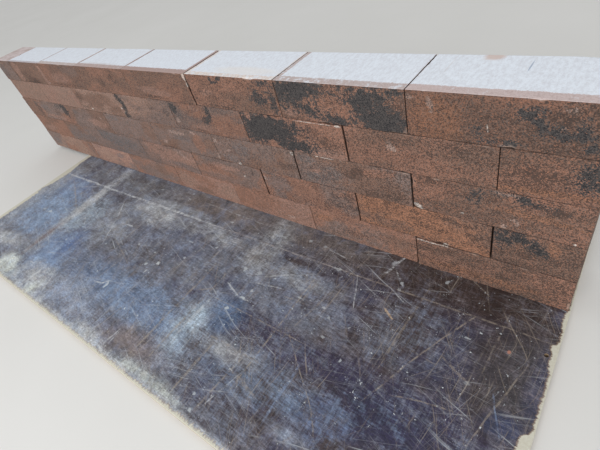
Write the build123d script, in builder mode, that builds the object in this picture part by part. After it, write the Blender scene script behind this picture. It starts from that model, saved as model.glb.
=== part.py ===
from build123d import *
import os
from math import asin, cos, degrees, radians, sin

# A dry-laid wall of concrete blocks, one block deep, standing on a film-faced plywood board.
# Millimetres, +Z up. X runs along the wall, and Y from its fair face to its back.
# The origin is under the middle of the whole, on the ground that the board lies on.

# Block. The end block, which closes the right end of an odd course, is a little longer than the rest.
block_length = 387.0
end_block_length = 397.0
half_block_length = 191.5
block_depth = 175.5
block_height = 114.0
block_arris = 1.0

# Bond
courses = 5
full_blocks = 7
joint = 1.0

# How far the ends of hand-laid blocks wander out of the face line and back into it
hand_play = 0.6

# Board
board_length = 2500.0
board_width = 1250.0
board_thickness = 18.0
board_corner_radius = 6.0
board_arris = 1.5
fixing_hole_radius = 5.0
fixing_hole_from_end = 21.0
fixing_hole_from_front = 578.0

# The board lies a little askew under the wall. Both margins run from the right end of the wall's foot,
# in the board's own directions: out to the end of the board, and forward to its front edge.
board_turn = 1.5
board_past_end = 5.0
board_before_face = 721.0

# Joints that stand open, by course and by number from the left, with their width
open_joints = {
    (1, 2): 3.5,
    (1, 7): 2.5,
    (2, 4): 2.0,
    (2, 5): 3.0,
    (2, 6): 2.0,
    (2, 7): 3.5,
    (3, 3): 2.5,
    (3, 5): 1.5,
    (3, 6): 2.5,
    (3, 7): 2.5,
    (4, 5): 2.5,
    (4, 6): 2.0,
    (4, 7): 1.5,
    (5, 4): 2.0,
    (5, 5): 5.0,
    (5, 6): 2.0,
    (5, 7): 1.5,
}

# Blocks that stand proud of the face line, by course and by number from the left:
# how far their left and their right end stand out
proud_ends = {
    (1, 8): (2.5, 0.5),
    (2, 5): (0.0, 2.0),
    (2, 6): (0.0, 1.5),
    (3, 6): (0.0, 1.8),
    (3, 7): (0.0, 1.5),
    (4, 6): (0.5, 3.0),
    (5, 5): (0.0, 1.5),
}

# Corners broken off the fair face, by course and number from the left: which end, which bed,
# and how far the break reaches along the block, into it and up or down it
broken_corners = {
    (2, 5): ("right", "top", 5.0, 4.0, 10.0),
    (3, 6): ("right", "top", 7.0, 4.0, 8.0),
    (3, 7): ("right", "top", 5.0, 3.0, 7.0),
    (3, 8): ("left", "bottom", 20.0, 6.0, 13.0),
    (4, 6): ("right", "top", 6.0, 4.0, 5.0),
    (5, 5): ("right", "top", 11.0, 6.0, 26.0),
}


def hand_laid(course, end):
    """How far one end of a block stands out of the face line: small, and uneven from end to end."""
    return hand_play * sin(2.4 * end + 1.3 * course) * cos(0.9 * end * course)


def lay_course(course):
    """The places of one course's blocks, laid leftwards from the end where every course is flush.

    Gives each block's name, number from the left, length, left front corner and turn in degrees.
    """
    lengths = [block_length] * full_blocks
    if course % 2 == 0:
        half_at = 0
    else:
        half_at = full_blocks
        lengths[0] = end_block_length
    lengths.insert(half_at, half_block_length)
    pieces = len(lengths)
    full_number = full_blocks
    edge = 0.0
    laid = []
    for place, length in enumerate(lengths):
        number = pieces - place
        if place == half_at:
            name = f"course_{course}_half_block"
        else:
            name = f"course_{course}_block_{full_number}"
            full_number -= 1
        slack = hand_laid(course, 2 * number), hand_laid(course, 2 * number + 1)
        out_left, out_right = proud_ends.get((course, number), slack)
        turn = -asin((out_right - out_left) / length)
        # A turned block reaches further at its back than at its face, on one side or the other.
        back_shift = -block_depth * sin(turn)
        left = edge - length * cos(turn) - max(0.0, back_shift)
        laid.append((name, number, length, (left, -out_left), degrees(turn)))
        edge = left + min(0.0, back_shift) - open_joints.get((course, number - 1), joint)
    return laid


def break_corner(bed, length, end, level, along, inward, upright):
    """Cut one corner off the face, along the plane through the three ends of the break."""
    side = 1 if end == "left" else -1
    rise = 1 if level == "bottom" else -1
    corner_x = 0.0 if end == "left" else length
    corner_z = 0.0 if level == "bottom" else block_height
    start = bed.from_local_coords(Vector(corner_x + side * along, 0, corner_z))
    outward = bed.from_local_coords(Vector(-side / along, -1 / inward, -rise / upright)) - bed.origin
    split(bisect_by=Plane(origin=start, z_dir=outward), keep=Keep.BOTTOM)


def on_board(along, across):
    """A point of the board, given in its own directions from the right end of the wall's foot."""
    turn = radians(board_turn)
    return along * cos(turn) - across * sin(turn), along * sin(turn) + across * cos(turn)


wall = [lay_course(course) for course in range(1, courses + 1)]

# The middle of everything in plan, seen from the right end of the wall's foot
board_ends = (board_past_end - board_length, board_past_end)
board_sides = (-board_before_face, board_width - board_before_face)
board_corners = [on_board(along, across) for along in board_ends for across in board_sides]
block_lefts = [corner[0] for laid in wall for _, _, _, corner, _ in laid]
span_x = [x for x, _ in board_corners] + block_lefts + [0.0]
span_y = [y for _, y in board_corners] + [0.0, block_depth]
middle_x = (min(span_x) + max(span_x)) / 2
middle_y = (min(span_y) + max(span_y)) / 2

os.makedirs("parts", exist_ok=True)

# The board, with one drilled hole by its right end
foot = (-middle_x, -middle_y, 0)
board_plane = Plane(origin=foot, x_dir=(cos(radians(board_turn)), sin(radians(board_turn)), 0))
with BuildPart(board_plane) as board:
    with BuildSketch(board_plane):
        with Locations((board_past_end, -board_before_face)):
            Rectangle(board_length, board_width, align=(Align.MAX, Align.MIN))
    extrude(amount=board_thickness)
    fillet(board.edges().filter_by(Axis.Z), board_corner_radius)
    chamfer(board.faces().sort_by(Axis.Z)[-1].edges(), board_arris)
    hole_along = board_past_end - fixing_hole_from_end
    hole_across = fixing_hole_from_front - board_before_face
    with Locations((hole_along, hole_across, board_thickness)):
        Hole(fixing_hole_radius)
board.part.label = "board"
export_step(board.part, "parts/board.step")

# The blocks, course by course from the board up
for course, laid in enumerate(wall, start=1):
    bed_height = board_thickness + (course - 1) * block_height
    for name, number, length, (left, face), turn in laid:
        bed = Plane(
            origin=(left - middle_x, face - middle_y, bed_height),
            x_dir=(cos(radians(turn)), sin(radians(turn)), 0),
        )
        with BuildPart(bed) as block:
            Box(length, block_depth, block_height, align=(Align.MIN, Align.MIN, Align.MIN))
            chamfer(block.edges(), block_arris)
            if (course, number) in broken_corners:
                break_corner(bed, length, *broken_corners[(course, number)])
        block.part.label = name
        export_step(block.part, f"parts/{name}.step")
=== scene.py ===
# %% [markdown]
# A dry-laid wall of coloured concrete blocks on a worn sheet of film-faced plywood.
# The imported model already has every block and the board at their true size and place. Here they get
# what a camera sees: worn arrises, broken corners, blended pigments, lime bloom, scratches and dust.
# Everything is in metres, in the model's own frame: X along the wall, Z up, the fair face towards -Y.

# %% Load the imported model
import math
import random

import bmesh
import bpy
import numpy as np
from mathutils import Matrix, Vector, noise


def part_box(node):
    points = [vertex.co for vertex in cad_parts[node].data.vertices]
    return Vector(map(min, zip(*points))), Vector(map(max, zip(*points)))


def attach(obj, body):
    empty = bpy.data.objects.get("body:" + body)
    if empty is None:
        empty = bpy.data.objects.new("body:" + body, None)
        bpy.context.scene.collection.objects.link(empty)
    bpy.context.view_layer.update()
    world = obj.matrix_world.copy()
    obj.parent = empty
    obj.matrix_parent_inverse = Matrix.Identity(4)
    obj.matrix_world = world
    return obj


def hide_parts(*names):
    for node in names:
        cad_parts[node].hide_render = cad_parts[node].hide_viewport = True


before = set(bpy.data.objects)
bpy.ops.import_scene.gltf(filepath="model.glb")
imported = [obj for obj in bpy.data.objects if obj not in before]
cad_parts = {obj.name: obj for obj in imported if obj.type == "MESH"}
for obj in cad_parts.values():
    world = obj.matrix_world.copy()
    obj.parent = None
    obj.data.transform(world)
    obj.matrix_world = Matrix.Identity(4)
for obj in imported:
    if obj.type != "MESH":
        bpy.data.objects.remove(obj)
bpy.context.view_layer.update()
print("nodes", len(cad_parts))

# %% [markdown]
# All places on the wall are given as a mason would read them off with a tape, in millimetres: along from
# the wall's right end, and up from the board. A short helper turns such a reading into the frame.

# %% The tape measure
MM = 0.001
RIGHT_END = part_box("course_1_block_7")[1].x
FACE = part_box("course_1_block_7")[0].y
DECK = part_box("board")[1].z
BLOCKS = sorted(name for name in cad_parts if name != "board")
LEFT_END = min(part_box(name)[0].x for name in BLOCKS)


def on_face(from_end, up):
    """A point of the fair face, from the wall's right end and up from the board, in millimetres."""
    return Vector((RIGHT_END - from_end * MM, FACE, DECK + up * MM))


print("wall", round(RIGHT_END - LEFT_END, 4), "m long, face at", round(FACE, 4), "deck at", round(DECK, 4))

# %% [markdown]
# The camera looks down along the wall from a standing height, close to its right end, and is held
# aslant. Its turn is given by three angles. The matrix is built from the direction in which it looks,
# because that reads more plainly than Euler angles do.

# %% Camera
EYE = Vector((RIGHT_END + 0.0137, FACE - 0.76, DECK + 0.9919))
LOOK_ROUND = math.radians(49.13)
LOOK_DOWN = math.radians(40.55)
HELD_ASLANT = math.radians(-18.72)
LENS_MM, SENSOR_MM = 24.65, 36.0

ahead = Vector((-math.sin(LOOK_ROUND) * math.cos(LOOK_DOWN),
                math.cos(LOOK_ROUND) * math.cos(LOOK_DOWN),
                -math.sin(LOOK_DOWN)))
level_right = Vector((math.cos(LOOK_ROUND), math.sin(LOOK_ROUND), 0))
level_up = level_right.cross(ahead)
right = level_right * math.cos(HELD_ASLANT) + level_up * math.sin(HELD_ASLANT)
up = level_up * math.cos(HELD_ASLANT) - level_right * math.sin(HELD_ASLANT)

lens = bpy.data.cameras.new("camera")
lens.sensor_width = SENSOR_MM
lens.lens = LENS_MM
lens.clip_start = 0.01
camera = bpy.data.objects.new("camera", lens)
camera.matrix_world = Matrix.Translation(EYE) @ Matrix((right, up, -ahead)).transposed().to_4x4()
bpy.context.scene.collection.objects.link(camera)
bpy.context.scene.camera = camera
bpy.context.scene.view_settings.view_transform = "Standard"
print("camera at", [round(c, 3) for c in EYE])

# %% [markdown]
# A material is a small network of nodes. Building one by hand takes many lines, so this bench adds a
# node, fills in its sockets and hands back the socket that the next node needs. A socket takes either a
# plain value or another node's output. The later words of the bench, such as drawn, swing and spread,
# are the few patterns that the concrete and the board are both made of.

# %% A bench for mixing finishes
NO_TURN = (0.0, 0.0, 0.0)


def seen(red, green, blue):
    """A colour as it is read off a screen, 0 to 255, made linear for the shader."""
    def linear(level):
        level /= 255
        return level / 12.92 if level <= 0.04045 else ((level + 0.055) / 1.055) ** 2.4
    return linear(red), linear(green), linear(blue), 1.0


class Finish:
    """One material on the bench, with its shader already in place."""

    def __init__(self, name):
        self.material = bpy.data.materials.new(name)
        self.material.use_nodes = True
        self.tree = self.material.node_tree
        self.shader = self.tree.nodes["Principled BSDF"]

    def fill(self, socket, value):
        """Join another node's output to a socket, or write a plain value in it."""
        if isinstance(value, bpy.types.NodeSocket):
            self.tree.links.new(value, socket)
        else:
            socket.default_value = value

    def add(self, kind, output, settings=None, **inputs):
        """A node of one kind, with its inputs filled in. Gives back one of its outputs."""
        made = self.tree.nodes.new("ShaderNode" + kind)
        for key, value in (settings or {}).items():
            setattr(made, key, value)
        for key, value in inputs.items():
            self.fill(made.inputs[key.replace("_", " ")], value)
        return made.outputs[output]

    def math(self, operation, *values):
        """One sum on numbers, which may be plain or other nodes' outputs."""
        made = self.tree.nodes.new("ShaderNodeMath")
        made.operation = operation
        for socket, value in zip(made.inputs, values):
            self.fill(socket, value)
        return made.outputs[0]

    def times(self, first, *others):
        """The product of several values."""
        for other in others:
            first = self.math("MULTIPLY", first, other)
        return first

    def share(self, value, of, base):
        """A share of one value, added to another."""
        return self.math("MULTIPLY_ADD", value, of, base)

    def ramp(self, value, low, high, start=0.0, end=1.0):
        """Smooth rise from start to end while the value goes from low to high.

        The smooth step stays in its range by itself. A clamp would add a second node behind it, which in
        a long chain of marks makes the renderer hold every mark's value at once and run out of room.
        """
        return self.add("MapRange", "Result", {"interpolation_type": "SMOOTHSTEP", "clamp": False},
                        Value=value, From_Min=low, From_Max=high, To_Min=start, To_Max=end)

    def blend(self, amount, first, second, way="MIX"):
        """The first colour at an amount of 0, and at 1 the second, or with MULTIPLY their product."""
        made = self.tree.nodes.new("ShaderNodeMix")
        made.data_type = "RGBA"
        made.blend_type = way
        self.fill(made.inputs[0], amount)
        self.fill(made.inputs[6], first)
        self.fill(made.inputs[7], second)
        return made.outputs[2]

    def toned(self, colour, tone):
        """A colour made paler or darker by a factor."""
        grey = self.add("CombineColor", "Color", Red=tone, Green=tone, Blue=tone)
        return self.blend(1.0, colour, grey, "MULTIPLY")

    def parts(self, where):
        """The three coordinates of a place, each by itself."""
        made = self.tree.nodes.new("ShaderNodeSeparateXYZ")
        self.fill(made.inputs[0], where)
        return made.outputs

    def facing_up(self):
        """How far this place faces up, -1 to 1."""
        return self.parts(self.add("NewGeometry", "Normal"))[2]

    def shifted(self, where, by):
        """The pattern space moved by a vector, or by another node's."""
        return self.add("Mapping", "Vector", {"vector_type": "POINT"}, Vector=where, Location=by)

    def placed(self, where, centre, reach, turn=NO_TURN):
        """The pattern space of one mark: its centre is 0 and its rim is 1 away."""
        return self.add("Mapping", "Vector", {"vector_type": "TEXTURE"}, Vector=where,
                        Location=centre, Rotation=turn, Scale=reach)

    def drawn(self, where, along, across, turn=0.0, centre=(0.0, 0.0, 0.0)):
        """The pattern space drawn out flat, along and across a direction given in degrees."""
        return self.placed(where, centre, (along, across, 1.0), (0.0, 0.0, math.radians(turn)))

    def noise(self, where, per_metre, detail=2.0, rough=0.5):
        """A cloudy noise from 0 to 1, mostly near a half."""
        return self.add("TexNoise", "Fac", Vector=where, Scale=per_metre, Detail=detail, Roughness=rough)

    def swing(self, where, per_metre, detail, rough):
        """A noise about 0, which shakes a rim or stirs a mix."""
        return self.math("SUBTRACT", self.noise(where, per_metre, detail, rough), 0.5)

    def grains(self, where, per_metre, output="Color"):
        """Cells like grains, each of its own random colour, or how far its middle is."""
        return self.add("TexVoronoi", output, Vector=where, Scale=per_metre)

    def shaken(self, where, per_metre, by):
        """The same pattern space with a hand's wobble in it."""
        elsewhere = self.placed(where, (3.1, 1.7, 0.4), (1.0, 1.0, 1.0))
        wobble = [self.times(self.noise(spot, per_metre), by) for spot in (where, elsewhere)]
        return self.shifted(where, self.add("CombineXYZ", "Vector", X=wobble[0], Y=wobble[1]))

    def spread(self, where, raggedness, centre, reach, ragged, rim=(0.35, 0.7), turn=NO_TURN):
        """How far inside one ragged patch this is: 1 well within its rim and 0 outside it.

        The ball gradient falls from 1 at its middle to 0 at twice the reach, and the rim says between which
        two of its levels the patch begins. The raggedness is a noise about 0.
        """
        ball = self.placed(where, centre, [2 * part for part in reach], turn)
        inside = self.add("TexGradient", "Fac", {"gradient_type": "SPHERICAL"}, Vector=ball)
        return self.ramp(self.share(raggedness, ragged / 2, inside), *rim)

    def finish(self, colour, roughness, specular, height, relief_mm):
        """Join the colour, the roughness and the relief to the shader."""
        bump = self.add("Bump", "Normal", Height=height, Strength=1.0, Distance=relief_mm * MM)
        self.fill(self.shader.inputs["Base Color"], colour)
        self.fill(self.shader.inputs["Roughness"], roughness)
        self.fill(self.shader.inputs["Specular IOR Level"], specular)
        self.fill(self.shader.inputs["Normal"], bump)
        return self.material


print("a middle grey, as the shader takes it:", round(seen(128, 128, 128)[0], 3))

# %% [markdown]
# The light is a pale even sky with one large soft lamp in front of the wall. The sky alone would leave
# the fair face dull, because the dark board below it gives nothing back. The lamp is wide, so that the
# shadows stay soft. The levels are set so that a colour renders about as it is written. The sky that the
# camera sees directly is a little brighter than its light, so that the background stays pale.

# %% Sky, lamp and floor
SKY = 0.70
LAMP_WATTS = 155.0
LAMP_SIZE = 3.0
LAMP_PLACE = Vector((1.4, -4.2, 2.8))
LAMP_AIM = Vector((0.2, 0.1, 0.2))
FLOOR_HALF = 20.0

world = bpy.data.worlds.new("even_sky")
bpy.context.scene.world = world
world.use_nodes = True
sky_nodes = world.node_tree.nodes
sky = sky_nodes["Background"]
sky.inputs["Color"].default_value = (1.0, 1.0, 1.0, 1.0)
rays = sky_nodes.new("ShaderNodeLightPath")
seen_direct = sky_nodes.new("ShaderNodeMath")
seen_direct.operation = "MULTIPLY_ADD"
seen_direct.inputs[1].default_value = 1.0 - SKY
seen_direct.inputs[2].default_value = SKY
world.node_tree.links.new(rays.outputs["Is Camera Ray"], seen_direct.inputs[0])
world.node_tree.links.new(seen_direct.outputs[0], sky.inputs["Strength"])

lamp = bpy.data.lights.new("soft_lamp", "AREA")
lamp.energy = LAMP_WATTS
lamp.size = LAMP_SIZE
soft_lamp = bpy.data.objects.new("soft_lamp", lamp)
soft_lamp.location = LAMP_PLACE
soft_lamp.rotation_euler = (LAMP_AIM - LAMP_PLACE).to_track_quat("-Z", "Y").to_euler()
bpy.context.scene.collection.objects.link(soft_lamp)

paving = Finish("pale_floor")
floor_where = paving.add("TexCoord", "Object")
floor_colour = paving.blend(paving.noise(floor_where, 1.5, 3.0), seen(214, 214, 211), seen(222, 222, 220))
paving.finish(floor_colour, 0.9, 0.5, paving.noise(floor_where, 300.0), 0.1)

bm = bmesh.new()
bmesh.ops.create_grid(bm, x_segments=1, y_segments=1, size=FLOOR_HALF)
floor_mesh = bpy.data.meshes.new("floor")
bm.to_mesh(floor_mesh)
bm.free()
floor_mesh.materials.append(paving.material)
floor = bpy.data.objects.new("floor", floor_mesh)
bpy.context.scene.collection.objects.link(floor)
print("sky", SKY, "lamp", LAMP_WATTS, "W")

# %% [markdown]
# Each block came out of a mould with sharp arrises, which have since rubbed and chipped. A plain box
# would give perfectly straight edges, and a bevel alone perfectly even ones. So the block starts as a
# cube that is subdivided into a fine grid, closer together towards its arrises, and its points are then
# pushed inward by noise: a little all over the faces, more along the arrises, and deep where a large
# corner is broken off. Nothing is pushed outward, so the block stays inside its true size. First its
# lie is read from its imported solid: the turn that the mason's hand gave it, and the plane of a break.

# %% Where a block lies
FACING_FRONT = -0.9
# A break is a facet that lies aslant: each part of its normal is well above 0 and well below 1. A small
# break has only facets below this area, in square metres, and is left as a plain worn corner.
ASLANT = (0.03, 0.97)
SMALLEST_BREAK = 20e-6


def lie_of(node):
    """Turn about Z of a block's own frame, its lowest corner there, and its length, depth and height."""
    mesh = node.data
    front = max((f for f in mesh.polygons if f.normal.y < FACING_FRONT), key=lambda f: f.area)
    turn = math.atan2(front.normal.x, -front.normal.y)
    unturn = Matrix.Rotation(-turn, 3, "Z")
    points = np.array([unturn @ v.co for v in mesh.vertices])
    return turn, Vector(points.min(0)), Vector(points.max(0) - points.min(0))


def broken_plane(node, turn):
    """The plane of a broken corner in the block's own frame, as a point and a normal, or None."""
    unturn = Matrix.Rotation(-turn, 3, "Z")
    for face in node.data.polygons:
        normal = unturn @ face.normal
        slants = [abs(part) for part in normal]
        if face.area > SMALLEST_BREAK and min(slants) > ASLANT[0] and max(slants) < ASLANT[1]:
            return unturn @ face.center, normal
    return None


broken = [name for name in BLOCKS if broken_plane(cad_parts[name], lie_of(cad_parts[name])[0])]
print("large broken corners:", broken)

# %% The grid of a block
GRID_STEP = 8.0 * MM
GRID_FIRST = 1.1 * MM
GRID_GROWTH = 1.7


def graded(length):
    """Places along one side of a block, close together near both its ends."""
    half = [0.0]
    gap = GRID_FIRST
    while half[-1] + gap < length / 2:
        half.append(half[-1] + gap)
        gap = min(GRID_STEP, gap * GRID_GROWTH)
    return np.array(half + [length - place for place in reversed(half)])


def gridded_box(size):
    """A closed box with its lowest corner at 0, cut into a graded grid."""
    bm = bmesh.new()
    bmesh.ops.create_cube(bm, size=1.0, matrix=Matrix.Translation((0.5, 0.5, 0.5)))
    for axis in range(3):
        along = [e for e in bm.edges if abs((e.verts[0].co - e.verts[1].co)[axis]) > 0.5]
        bmesh.ops.subdivide_edges(bm, edges=along, cuts=len(graded(size[axis])) - 2)
    for axis in range(3):
        places = graded(size[axis])
        even = np.linspace(0.0, 1.0, len(places))
        for vert in bm.verts:
            vert.co[axis] = np.interp(vert.co[axis], even, places)
    return bm


full_block = lie_of(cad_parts["course_1_block_6"])[2]
print("grid of a full block:", [len(graded(side)) for side in full_block])

# %% Wear and tear
ARRIS = 1.0 * MM
RUBBED = 0.7 * MM
CHIPPED = 7.0 * MM
FEW_CHIPS = 0.36
FACE_RELIEF = 0.5 * MM
RELIEF_FADES = 5.0 * MM
BREAK_RELIEF = 0.8 * MM
DEEP_WEAR = 3.0 * MM
# How far dirt creeps out of a joint, and how far back from the face it is at its thickest
DIRT_CREEPS = 1.1 * MM
MOUTH = 5.0 * MM
FREE_END = 60.0 * MM
ON_A_FACE = 1e-6
SIDES = ("left", "right", "bed", "top")


def ripple(place, per_metre):
    """A noise from 0 to 1, read at a point."""
    return 0.5 + 0.5 * noise.noise(place * per_metre)


def chip_size(place):
    """How wide the arris is worn here: rubbed everywhere, and chipped in a few spots."""
    chip = max(0.0, noise.noise(place * 38 + Vector((7, 3, 1))) - FEW_CHIPS)
    grain = 0.5 * noise.noise(place * 400)
    return ARRIS + RUBBED * ripple(place, 70) + CHIPPED * chip * (1.6 + grain)


def joined_sides(name):
    """Which ends and beds of a block meet another one or the board."""
    low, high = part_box(name)
    meets = {"left": low.x > LEFT_END + FREE_END, "right": high.x < RIGHT_END - FREE_END,
             "bed": True, "top": not name.startswith("course_5")}
    return [side for side in SIDES if meets[side]]


def joint_dirt(place, from_sides, joined, behind_face):
    """How much joint dirt lies here, 0 to 1: thicker down in the upright joints, broken in the beds."""
    deep_down = min(1.0, 0.25 + behind_face / MOUTH)
    ends = [deep_down * (1 - from_sides[side] / DIRT_CREEPS) for side in joined if side in ("left", "right")]
    beds = [1 - from_sides[side] / DIRT_CREEPS for side in joined if side in ("bed", "top")]
    broken_line = 0.35 + 0.65 * min(1.0, max(0.0, 0.5 + 2.5 * noise.noise(place * 22)))
    return max([0.0] + ends + [bed * broken_line for bed in beds])


def weather(bm, size, seed, crack, joined):
    """Push the points of a gridded box inward, and mark each one's wear and joint dirt, 0 to 1."""
    wear = bm.verts.layers.float.new("wear")
    dirt = bm.verts.layers.float.new("joint_dirt")
    for vert in bm.verts:
        place = vert.co + seed
        far = [size[k] - vert.co[k] for k in range(3)]
        inward = [1 if vert.co[k] <= far[k] else -1 for k in range(3)]
        depth = [min(vert.co[k], far[k]) for k in range(3)]
        from_sides = dict(zip(SIDES, (vert.co.x, far[0], vert.co.z, far[2])))
        vert[dirt] = joint_dirt(place, from_sides, joined, vert.co.y)
        push = [0.0, 0.0, 0.0]
        on = [k for k in range(3) if depth[k] < ON_A_FACE]
        if len(on) == 1:
            fade = min(1.0, sorted(depth)[1] / RELIEF_FADES)
            push[on[0]] = FACE_RELIEF * ripple(place, 45) * fade
        worn = chip_size(place)
        for one, other in ((0, 1), (0, 2), (1, 2)):
            short = worn - depth[one] - depth[other]
            if short > 0:
                push[one] = max(push[one], short / 2)
                push[other] = max(push[other], short / 2)
                vert[wear] = max(vert[wear], min(1.0, (worn - ARRIS - RUBBED * 0.7) / DEEP_WEAR))
        for k in range(3):
            vert.co[k] += inward[k] * push[k]
        if crack:
            point, normal = crack
            over = (vert.co - point).dot(normal) + BREAK_RELIEF * ripple(place, 160)
            if over > 0:
                vert.co -= normal * over
                vert[wear] = 1.0


def weathered_block(name, seed):
    """A worn copy of one block, in the place of its node."""
    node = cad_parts[name]
    turn, low, size = lie_of(node)
    crack = broken_plane(node, turn)
    if crack:
        crack = (crack[0] - low, crack[1])
    bm = gridded_box(size)
    weather(bm, size, seed, crack, joined_sides(name))
    bmesh.ops.transform(bm, matrix=Matrix.Rotation(turn, 4, "Z") @ Matrix.Translation(low), verts=bm.verts)
    mesh = bpy.data.meshes.new(name + "_weathered")
    bm.to_mesh(mesh)
    bm.free()
    mesh.shade_smooth()
    piece = bpy.data.objects.new(name + "_weathered", mesh)
    bpy.context.scene.collection.objects.link(piece)
    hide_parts(name)
    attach(piece, "root")
    return piece


print("joined sides of course_5_block_7:", joined_sides("course_5_block_7"))

# %% [markdown]
# The blocks are cast from a dry mix in which batches of different pigment are only half stirred
# together. That leaves a terracotta ground with orange, brown and mauve drifts and black patches, all
# with ragged edges, because the colour changes from grain to grain. One recipe makes them all. What
# differs from block to block is its ground, its drift and the patches that lie on it, read off the
# real wall.

# %% Pigments
PIGMENT = {
    "terracotta": seen(142, 106, 90),
    "orange": seen(150, 108, 85),
    "brown": seen(120, 95, 83),
    "tan": seen(150, 123, 110),
    "salmon": seen(153, 121, 108),
    "mauve": seen(122, 106, 100),
    "slate": seen(108, 104, 104),
    "umber": seen(64, 54, 50),
    "charcoal": seen(38, 38, 41),
    "dust": seen(172, 150, 140),
    "chalk": seen(208, 200, 192),
}
# How fully a patch of each pigment covers the ground
COVER = {"terracotta": 0.8, "orange": 0.7, "brown": 0.75, "tan": 0.8, "salmon": 0.75, "mauve": 0.6,
         "slate": 0.6, "dust": 0.65, "chalk": 0.9}
PALE_BLACK = seen(83, 78, 76)
GREY_GRAIN, ORANGE_GRAIN = seen(102, 94, 90), seen(170, 116, 90)
RUBBED_ARRIS, DAMP_LIP, JOINT_DIRT = seen(196, 172, 158), seen(70, 46, 38), seen(50, 37, 32)
LIME_BLOOM, LIME_SHADE, LIME_SPECK = seen(222, 229, 238), seen(208, 212, 220), seen(196, 194, 196)
LIME_VEIL, VEIL_SHADE, STRIP_SHADE = seen(204, 192, 192), seen(178, 162, 158), seen(150, 128, 122)
print("pigments", sorted(PIGMENT))

# %% The blocks' grounds
# For each block: its ground, the drift through it, how much drift, how thick its dark fleck is, and
# how pale the whole block is made. That paleness is partly the block's own tone and partly painted
# light, which lifts the lower courses, where the dark board below leaves the face in more shade.
GROUNDS = {
    "course_5_half_block": ("brown", "mauve", 0.6, 0.35, 0.95),
    "course_5_block_1": ("brown", "umber", 0.25, 0.3, 0.92),
    "course_5_block_2": ("brown", "terracotta", 0.6, 0.3, 0.8),
    "course_5_block_3": ("terracotta", "brown", 0.4, 0.35, 0.87),
    "course_5_block_4": ("terracotta", "brown", 0.5, 0.35, 0.8),
    "course_5_block_5": ("terracotta", "brown", 0.45, 0.45, 0.85),
    "course_5_block_6": ("terracotta", "brown", 0.45, 0.5, 0.86),
    "course_5_block_7": ("terracotta", "brown", 0.5, 0.4, 0.66),
    "course_4_half_block": ("brown", "terracotta", 0.5, 0.55, 0.76),
    "course_4_block_1": ("tan", "salmon", 0.4, 0.1, 0.8),
    "course_4_block_2": ("tan", "salmon", 0.5, 0.1, 0.85),
    "course_4_block_3": ("tan", "brown", 0.45, 0.25, 0.96),
    "course_4_block_4": ("tan", "mauve", 0.5, 0.3, 0.87),
    "course_4_block_5": ("terracotta", "mauve", 0.6, 0.4, 0.8),
    "course_4_block_6": ("terracotta", "salmon", 0.4, 0.35, 0.95),
    "course_4_block_7": ("terracotta", "brown", 0.5, 0.5, 0.85),
    "course_3_half_block": ("brown", "terracotta", 0.5, 0.3, 1.0),
    "course_3_block_1": ("mauve", "terracotta", 0.4, 0.35, 1.0),
    "course_3_block_2": ("brown", "mauve", 0.4, 0.35, 1.05),
    "course_3_block_3": ("mauve", "brown", 0.35, 0.25, 1.0),
    "course_3_block_4": ("mauve", "brown", 0.35, 0.25, 0.92),
    "course_3_block_5": ("brown", "mauve", 0.5, 0.4, 1.0),
    "course_3_block_6": ("mauve", "brown", 0.45, 0.5, 1.0),
    "course_3_block_7": ("terracotta", "brown", 0.5, 0.5, 0.89),
    "course_2_half_block": ("brown", "umber", 0.25, 0.6, 0.92),
    "course_2_block_1": ("brown", "terracotta", 0.6, 0.2, 0.94),
    "course_2_block_2": ("brown", "mauve", 0.6, 0.25, 1.0),
    "course_2_block_3": ("mauve", "slate", 0.5, 0.25, 0.94),
    "course_2_block_4": ("mauve", "salmon", 0.5, 0.3, 0.9),
    "course_2_block_5": ("terracotta", "mauve", 0.5, 0.35, 1.0),
    "course_2_block_6": ("terracotta", "mauve", 0.4, 0.45, 1.0),
    "course_2_block_7": ("orange", "brown", 0.35, 0.5, 1.04),
    "course_1_half_block": ("mauve", "tan", 0.4, 0.2, 1.06),
    "course_1_block_1": ("tan", "terracotta", 0.5, 0.2, 1.0),
    "course_1_block_2": ("salmon", "mauve", 0.4, 0.2, 1.2),
    "course_1_block_3": ("terracotta", "mauve", 0.4, 0.2, 1.08),
    "course_1_block_4": ("terracotta", "salmon", 0.5, 0.25, 1.0),
    "course_1_block_5": ("terracotta", "salmon", 0.45, 0.3, 1.0),
    "course_1_block_6": ("terracotta", "mauve", 0.35, 0.4, 1.12),
    "course_1_block_7": ("terracotta", "brown", 0.4, 0.6, 0.95),
}
print("grounds", len(GROUNDS))
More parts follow.
